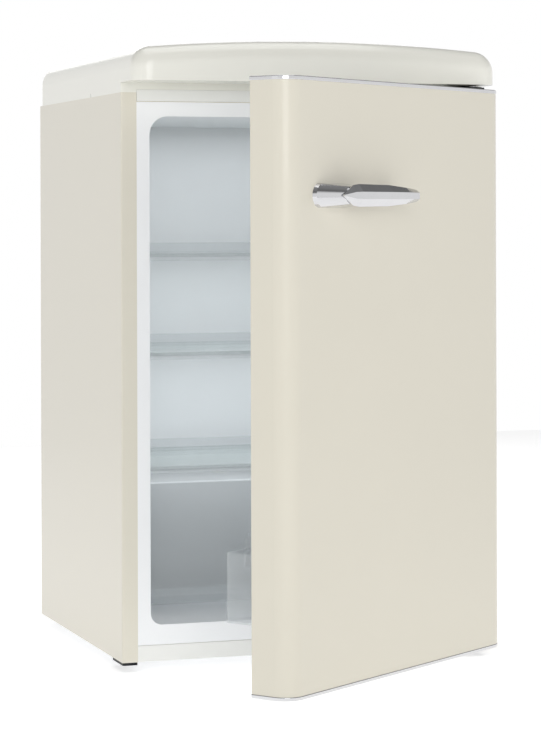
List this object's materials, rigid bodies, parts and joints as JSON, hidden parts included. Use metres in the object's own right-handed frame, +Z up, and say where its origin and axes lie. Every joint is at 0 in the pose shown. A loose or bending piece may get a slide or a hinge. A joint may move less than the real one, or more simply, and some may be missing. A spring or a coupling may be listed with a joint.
{
  "type": "mini fridge",
  "caption": "Retro under-counter larder fridge with a domed top cover, chrome trims, a right-hinged door with bins, glass shelves and a crisper drawer.",
  "frame": {"origin": "on the floor, at the middle of the cabinet width, below the front plane that the door gasket faces", "axes": "+X to the right seen from the front, +Y towards the wall, +Z up"},
  "size_m": [0.5557, 0.8671, 0.897],
  "materials": {
    "cream_steel": "satin gloss paint",
    "cream_plastic": "gloss",
    "zinc_steel": "zinc plated",
    "rear_steel": "satin paint",
    "white_plastic": "satin",
    "liner_plastic": "soft gloss",
    "foam": "rigid polyurethane foam",
    "dark_steel": "black zinc",
    "bright_steel": "bright",
    "black_plastic": "moulded",
    "rubber": "matt",
    "gasket_rubber": "matt",
    "black_steel": "gloss enamel",
    "copper": "drawn copper",
    "aluminium": "roll bonded",
    "chrome": "polished",
    "clear_plastic": "clear polystyrene",
    "glass": "toughened glass"
  },
  "bodies": {
    "cabinet": {"left_side_panel": "cream_steel", "right_side_panel": "cream_steel", "roof_deck": "zinc_steel", "back_panel": "rear_steel", "cabinet_floor": "zinc_steel", "front_plinth": "white_plastic", "front_top_rail": "white_plastic", "inner_liner": "liner_plastic", "cabinet_foam": "foam", "top_cover": "cream_plastic", "cover_screws": "zinc_steel", "upper_hinge": "dark_steel", "lower_hinge": "dark_steel", "hinge_pins": "bright_steel", "corner_bracket": "dark_steel", "hinge_screws": "bright_steel", "foot_nuts": "bright_steel", "rear_feet": "black_plastic", "compressor_plate": "zinc_steel", "compressor_grommets": "rubber", "compressor_bolts": "bright_steel", "compressor": "black_steel", "relay_cover": "black_plastic", "drain_tray": "black_plastic", "drain_spout": "white_plastic", "power_inlet_gland": "black_plastic", "filter_dryer": "copper", "refrigerant_lines": "copper", "evaporator_plate": "aluminium", "condenser_coil": "copper", "wall_spacers": "black_plastic", "thermostat_housing": "white_plastic", "lamp_lens": "clear_plastic", "lamp_bulb": "glass"},
    "door": {"door_skin": "cream_steel", "door_foam": "foam", "door_liner": "liner_plastic", "door_gasket": "gasket_rubber", "door_top_trim": "chrome", "door_bottom_trim": "chrome", "door_end_caps": "white_plastic", "hinge_bushes": "white_plastic", "handle_pod": "chrome", "handle_grip": "chrome", "handle_post": "chrome", "handle_screws": "bright_steel"},
    "bottle_bin": {"bottle_bin": "clear_plastic", "bottle_guard": "clear_plastic"},
    "middle_bin": {"middle_bin": "clear_plastic"},
    "upper_bin": {"upper_bin": "clear_plastic"},
    "upper_shelf": {"upper_shelf": "glass", "upper_shelf_trims": "clear_plastic"},
    "lower_shelf": {"lower_shelf": "glass", "lower_shelf_trims": "clear_plastic"},
    "crisper_cover": {"crisper_cover": "glass", "crisper_cover_trims": "clear_plastic"},
    "crisper_drawer": {"crisper_drawer": "clear_plastic"},
    "thermostat_knob": {"thermostat_knob": "white_plastic"},
    "left_front_foot": {"left_front_foot": "black_plastic"},
    "right_front_foot": {"right_front_foot": "black_plastic"}
  },
  "joints": [
    {"name": "door_swing", "type": "hinge", "parent": "cabinet", "child": "door", "pos_m": [0.2505, -0.038, 0.42], "axis": [0, 0, 1], "range_deg": [-36.18, 73.82]},
    {"name": "bottle_bin_lift", "type": "slide", "parent": "door", "child": "bottle_bin", "axis": [0, 0, 1], "range_m": [0, 0.028]},
    {"name": "middle_bin_lift", "type": "slide", "parent": "door", "child": "middle_bin", "axis": [0, 0, 1], "range_m": [0, 0.028]},
    {"name": "upper_bin_lift", "type": "slide", "parent": "door", "child": "upper_bin", "axis": [0, 0, 1], "range_m": [0, 0.028]},
    {"name": "upper_shelf_slide", "type": "slide", "parent": "cabinet", "child": "upper_shelf", "axis": [0, -1, 0], "range_m": [0, 0.085]},
    {"name": "lower_shelf_slide", "type": "slide", "parent": "cabinet", "child": "lower_shelf", "axis": [0, -1, 0], "range_m": [0, 0.085]},
    {"name": "crisper_cover_slide", "type": "slide", "parent": "cabinet", "child": "crisper_cover", "axis": [0, -1, 0], "range_m": [0, 0.085]},
    {"name": "crisper_drawer_slide", "type": "slide", "parent": "cabinet", "child": "crisper_drawer", "axis": [0, -1, 0], "range_m": [0, 0.055]},
    {"name": "thermostat_turn", "type": "hinge", "parent": "cabinet", "child": "thermostat_knob", "pos_m": [0.199, 0.255, 0.718], "axis": [-1, 0, 0], "range_deg": [-150, 150]},
    {"name": "left_foot_screw", "type": "hinge", "parent": "cabinet", "child": "left_front_foot", "pos_m": [-0.225, 0.105, 0.02], "axis": [0, 0, 1], "continuous": true},
    {"name": "right_foot_screw", "type": "hinge", "parent": "cabinet", "child": "right_front_foot", "pos_m": [0.225, 0.105, 0.02], "axis": [0, 0, 1], "continuous": true}
  ]
}
